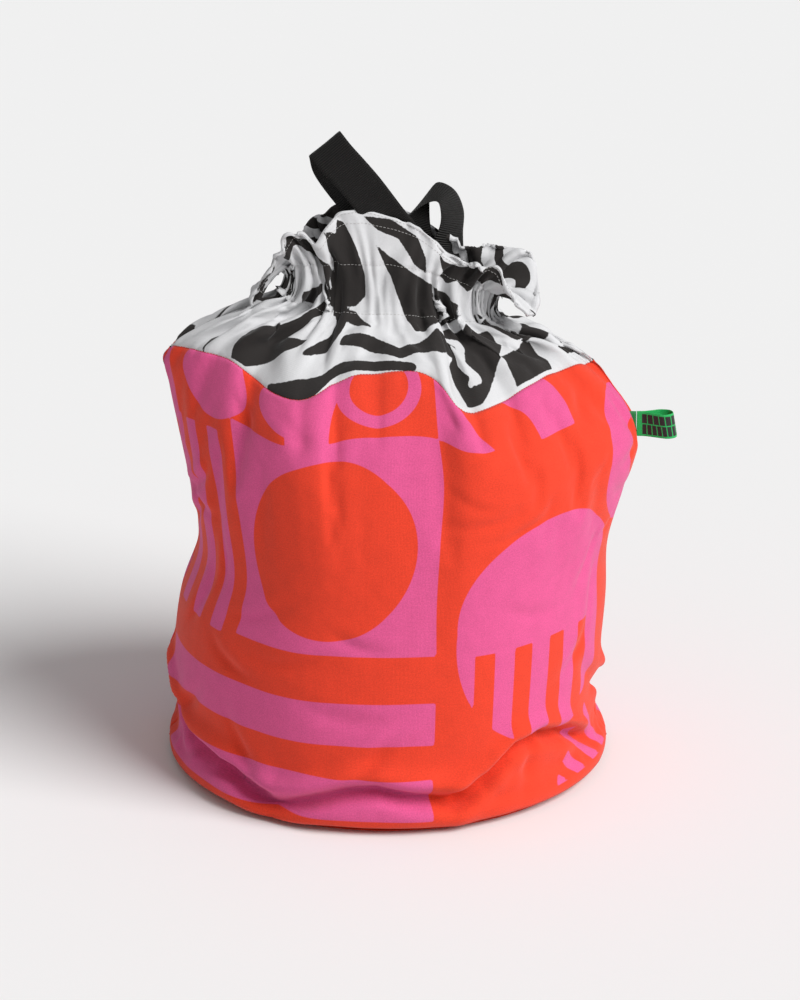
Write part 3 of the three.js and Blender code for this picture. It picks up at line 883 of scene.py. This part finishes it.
def band(name, stations, width, thick, steps=160, across=11, cup=0.0):
    """A woven band along a path: a closed strip with soft selvages."""
    path, run = smooth_path(stations, steps)
    centre = path[:, :3]
    half = path[:, 3:] / np.linalg.norm(path[:, 3:], axis=1, keepdims=True) * width / 2
    normal = np.cross(half, np.gradient(centre, axis=0))
    normal /= np.linalg.norm(normal, axis=1, keepdims=True)
    place = np.linspace(-1, 1, across)
    middle = centre[:, None] + half[:, None] * place[None, :, None]
    middle = middle + normal[:, None] * (cup * (place**2 - 0.5))[None, :, None]
    edge = np.sqrt(np.clip(1 - np.abs(place) ** 14, 0.12, 1)) * thick / 2
    offset = normal[:, None] * edge[None, :, None]
    s = np.broadcast_to(place * width / 2, (steps, across))
    t = np.broadcast_to(run[:, None], (steps, across))
    return closed_sheet(name, middle + offset, middle - offset, s, t, turned=True)


# Stations of each band in millimetres: its centre, then the half vector across its width.
FLAT = (19, 0, 0)
LEAN = (14.4, 0, 12.2)
FRONT_STRAP = (
    ((30, -12, 425), FLAT), ((30, -12, 460), FLAT),
    ((28, -12, 495), (18.5, 0, 4)), ((17, -12, 526), (16, 0, 10)),
    ((-1, -14, 552), LEAN), ((-21, -18, 581), LEAN), ((-36, -20, 600), LEAN), ((-48, -20, 614), LEAN),
    ((-56, -15, 623), LEAN), ((-58.5, -10, 624.5), LEAN), ((-59, -4, 621), LEAN), ((-55, 0, 604), LEAN),
    ((-41, 1, 582), LEAN), ((-19, -4, 556), LEAN),
    ((7, -8.5, 527), (16, 0, 10)), ((27, -8.8, 495), (18.5, 0, 4)),
    ((30, -8.8, 460), FLAT), ((30, -8.8, 425), FLAT),
)
REAR_STRAP = (
    ((52, 8.8, 425), FLAT), ((51, 8.8, 460), FLAT),
    ((42, 8.5, 492), (18.5, 0, 3)), ((26, 7, 520), (18, 2, 3)),
    ((23, 7, 540), (16, 6, 5)), ((30, 10, 557), (10, 14, 6)), ((42, 14, 568), (6, 17, 5)),
    ((56, 17, 564), (8, 16, 0)), ((62, 18, 548), (11, 15, -4)), ((61, 16, 530), (11, 13, -7)),
    ((57, 14, 512), (15, 9, -4)),
    ((54, 12, 490), FLAT), ((54, 12, 460), FLAT), ((54, 12, 425), FLAT),
)
LABEL_ROOT = (((216, 0, 339), (0, 0, 12)), ((230, 0, 339), (0, 0, 12)), ((239.6, 0, 338.7), (0, 0, 12.2)))
LABEL_LOOP = (
    ((240.2, -0.9, 338.6), (0, 0, 12.2)), ((248, -1.4, 338.5), (-0.5, 0, 12.2)),
    ((258, -4.8, 338.2), (-1.5, 0, 12.2)), ((267.5, -7.6, 338), (-2, 0, 12.2)),
    ((274.5, -5.2, 338), (-2, 0, 12.2)), ((277, 0.5, 338), (-2, 0, 12.2)),
    ((273.5, 6.2, 338), (-2, 0, 12.2)), ((265, 7.6, 338), (-2, 0, 12.2)),
    ((256, 4.4, 338.2), (-1.5, 0, 12.2)), ((248, 1.4, 338.5), (-0.5, 0, 12.2)),
    ((240.2, 0.9, 338.6), (0, 0, 12.2)),
)


def ribbed_webbing():
    """Black ribbed webbing, with a finer weave crossing its ribs."""
    n = Nodes("webbing")
    place = n.cloth_place()
    ribs = n.wave(place, 15.0, "Y", 0.25)
    threads = n.wave(place, 44.0, "X")
    dust = n.noise(place, 60.0, 3.0)
    shade = n.math("ADD", n.math("MULTIPLY", ribs, 0.9), n.math("MULTIPLY", dust, 0.7))
    n.fill(n.shader, {
        "Base Color": n.mix(shade, (0.0022, 0.002, 0.0018, 1), (0.011, 0.010, 0.009, 1)),
        "Normal": n.bump(threads, 0.0002, 0.4, n.bump(ribs, 0.001, 1.0)),
        "Roughness": 0.55,
        "Specular IOR Level": 0.3,
    })
    return n.material


def label_marks(s, t):
    """Two rows of plain dark blocks on the ribbon."""
    rows = np.minimum(10.4 - np.abs(s), np.abs(s - 0.4) - 0.55)
    step = np.where(s > 0.4, 6.1, 4.9)
    start = np.where(s > 0.4, 1.5, 0.0)
    gaps = np.abs((t + start) % step - step / 2)
    return np.minimum.reduce([rows, step / 2 - 0.45 - gaps, t - 5, 66 - t])


def woven_ribbon():
    """The green label ribbon with its dark woven blocks."""
    n = Nodes("woven_label")
    place = n.cloth_place()
    marked = n.range(n.ink(), -0.15, 0.15, 0.0, 1.0)
    weave = n.math("ADD", n.wave(place, 40.0, "X"), n.wave(place, 40.0, "Y"))
    colour = n.mix(marked, (0.0, 0.42, 0.085, 1), (0.007, 0.002, 0.003, 1))
    speckle = n.range(n.noise(place, 80.0, 2.0), 0.2, 0.8, 0.8, 1.15)
    n.fill(n.shader, {
        "Base Color": n.shaded(colour, speckle),
        "Normal": n.bump(weave, 0.0002, 0.5),
        "Roughness": 0.55,
        "Sheen Weight": 0.1,
    })
    return n.material


def straps():
    """The webbing: two loops, each one band up out of the mouth and back, and the two runs in the casing."""
    webbing = ribbed_webbing()
    loops = (
        ("front_webbing_strap", FRONT_STRAP, ("front_pull", "front_hand_loop"), -0.0104,
         ("front_pull_outer", "front_loop", "front_pull_inner")),
        ("rear_webbing_strap", REAR_STRAP, ("rear_pull", "rear_hand_loop"), 0.0104,
         ("rear_pull_left", "rear_loop", "rear_pull_right")),
    )
    for name, stations, bodies, y, nodes in loops:
        strap = band(name, stations, 38.0, 1.1, steps=220, across=13, cup=0.5)
        strap.data.materials.append(webbing)
        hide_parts(*nodes)
        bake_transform(strap)
    for side, columns in (("front", FRONT), ("back", BACK)):
        rows = (CASING_LOW_ROW + 2, CASING_HIGH_ROW - 2)
        run = sheet_piece("webbing_in_casing_" + side, columns, rows, constant(1.7), constant(3.2))
        run.data.materials.append(webbing)
        ride_as(run, f"drawstring_{side}_run")


def plain_inside(loop):
    """Takes the blocks off the label's inner face, which is the first half of its points."""
    layer = loop.data.attributes["ink"].data
    ink = np.empty(len(layer), dtype=np.float32)
    layer.foreach_get("value", ink)
    inner = len(ink) // 2
    ink[:inner] = np.minimum(ink[:inner], -1)
    layer.foreach_set("value", ink)


def label():
    """The green ribbon, folded into a loop and caught in the right side seam."""
    ribbon = woven_ribbon()
    loop = band("green_label_loop", LABEL_LOOP, 25.0, 0.8, steps=260, across=91)
    add_ink(loop, label_marks)
    plain_inside(loop)
    root = band("green_label_root", LABEL_ROOT, 25.0, 1.6, steps=12)
    for obj in (loop, root):
        obj.data.materials.append(ribbon)
    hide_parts("label_loop")
    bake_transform(loop)
    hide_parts("label_root")
    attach(root, "bag")


def side_seams():
    """The folded seam allowances, which stand inwards from the two side seams below the label."""
    picked = np.arange(3, SEAM_ROW - 44)
    count = len(picked)
    section = ((3.2, -0.8), (3.2, 0.8), (11.0, 0.7), (11.0, -0.7))
    for name, column, inwards in (("left", 0, 1), ("right", HALF, -1)):
        line = POINTS[picked, column]
        corners = [line + np.array([inwards * far, side, 0.0]) for far, side in section]
        flat = np.stack(corners, axis=1).reshape(-1, 3)
        faces = ring_faces(count, 4).tolist()
        faces += [[3, 2, 1, 0], [(count - 1) * 4 + k for k in range(4)]]
        if inwards < 0:
            faces = [face[::-1] for face in faces]
        strip = make_object("folded_seam_" + name, flat * MM, faces, smooth=False)
        add_cloth_map(strip, flat[:, 0], flat[:, 2])
        dye(strip, no_print, BODY_CLOTH)
        ride_as(strip, "side_seam_" + name)


def base():
    """The round base, sewn in just inside the foot of the body, with a small cap at its middle."""
    outline = POINTS[0] - NORMALS[0] * 1.6
    shares = np.linspace(0.02, 1, 60)[:, None]
    wrinkle = 0.25 * np.sin(ANGLES * 7 + shares * 9) * np.sin(shares * math.pi)
    layers = []
    for z in (0.4, 1.4):
        layer = outline[None] * shares[..., None]
        layer[..., 2] = z + wrinkle * 0.6
        layers.append(layer.reshape(-1, 3))
    flat = np.concatenate(layers)
    upper = len(layers[0])
    quads = ring_faces(len(shares), COLUMNS)
    middle = np.arange(COLUMNS)
    last = upper - COLUMNS + middle
    following = np.roll(last, -1)
    edge = np.stack([last, following, following + upper, last + upper], axis=-1)
    polygons = np.concatenate([quads, (quads + upper)[:, ::-1], edge]).tolist()
    polygons += [middle.tolist(), (middle[::-1] + upper).tolist()]
    obj = make_object("base_disc", flat * MM, polygons)
    add_cloth_map(obj, flat[:, 0], flat[:, 1] + 250)
    dye(obj, no_print, BODY_CLOTH)
    ride_as(obj, "base_panel")


def thread_rows():
    """Every row of stitching: name, row of the grid, thread, then pitch, stitch length and radius."""
    rows = (
        ("rim", RIM_ROW - 1.4, "light_thread", 3.6, 2.7, 0.24),
        ("hem", RIM_ROW - 7.5, "light_thread", 3.6, 2.7, 0.24),
        ("casing_upper", CASING_HIGH_ROW, "light_thread", 3.6, 2.7, 0.24),
        ("casing_lower", CASING_LOW_ROW, "light_thread", 3.6, 2.7, 0.24),
        ("collar_seam", SEAM_ROW, "seam_thread", 3.0, 2.4, 0.3),
        ("base_seam", 0.6, "seam_thread", 3.0, 2.4, 0.3),
    )
    for name, row, thread, pitch, length, radius in rows:
        line, normals = row_line(row, (0, COLUMNS), -0.05)
        obj = stitches(name + "_thread", line, normals, pitch, length, radius)
        obj.data.materials.append(THREADS[thread])
        ride_as(obj, name + "_stitches")


cloth_pieces()
straps()
label()
side_seams()
base()
thread_rows()


def camera():
    """A long lens, a little above the sack and straight in front of it."""
    data = bpy.data.cameras.new("camera")
    data.sensor_width = 36
    data.lens = 185.6
    obj = bpy.data.objects.new("camera", data)
    bpy.context.collection.objects.link(obj)
    target = Vector((0.012, 0, 0.259))
    rise = math.radians(22)
    back = Vector((0, -math.cos(rise), math.sin(rise)))
    obj.location = target + back * 5.0
    obj.rotation_euler = (-back).to_track_quat("-Z", "Y").to_euler()
    bpy.context.scene.camera = obj


def studio():
    """A pale floor, an even sky and one broad soft key light from the upper right."""
    bpy.ops.mesh.primitive_plane_add(size=30)
    floor = bpy.context.object
    floor.name = "floor"
    floor.data.materials.append(plain_material("floor", (0.84, 0.84, 0.84), 0.9))
    world = bpy.data.worlds.new("studio")
    bpy.context.scene.world = world
    world.use_nodes = True
    sky = world.node_tree.nodes["Background"].inputs
    sky["Color"].default_value = (1, 1, 1, 1)
    sky["Strength"].default_value = 0.34
    data = bpy.data.lights.new("key", "SUN")
    data.energy = 3.35
    data.angle = math.radians(36)
    key = bpy.data.objects.new("key", data)
    bpy.context.collection.objects.link(key)
    towards = Vector((1.15, -0.70, 1.2))
    key.rotation_euler = towards.to_track_quat("Z", "Y").to_euler()
    bpy.context.scene.view_settings.view_transform = "Standard"


def record_size():
    """Brings the scene's transforms up to date."""
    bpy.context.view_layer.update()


record_size()
camera()
studio()
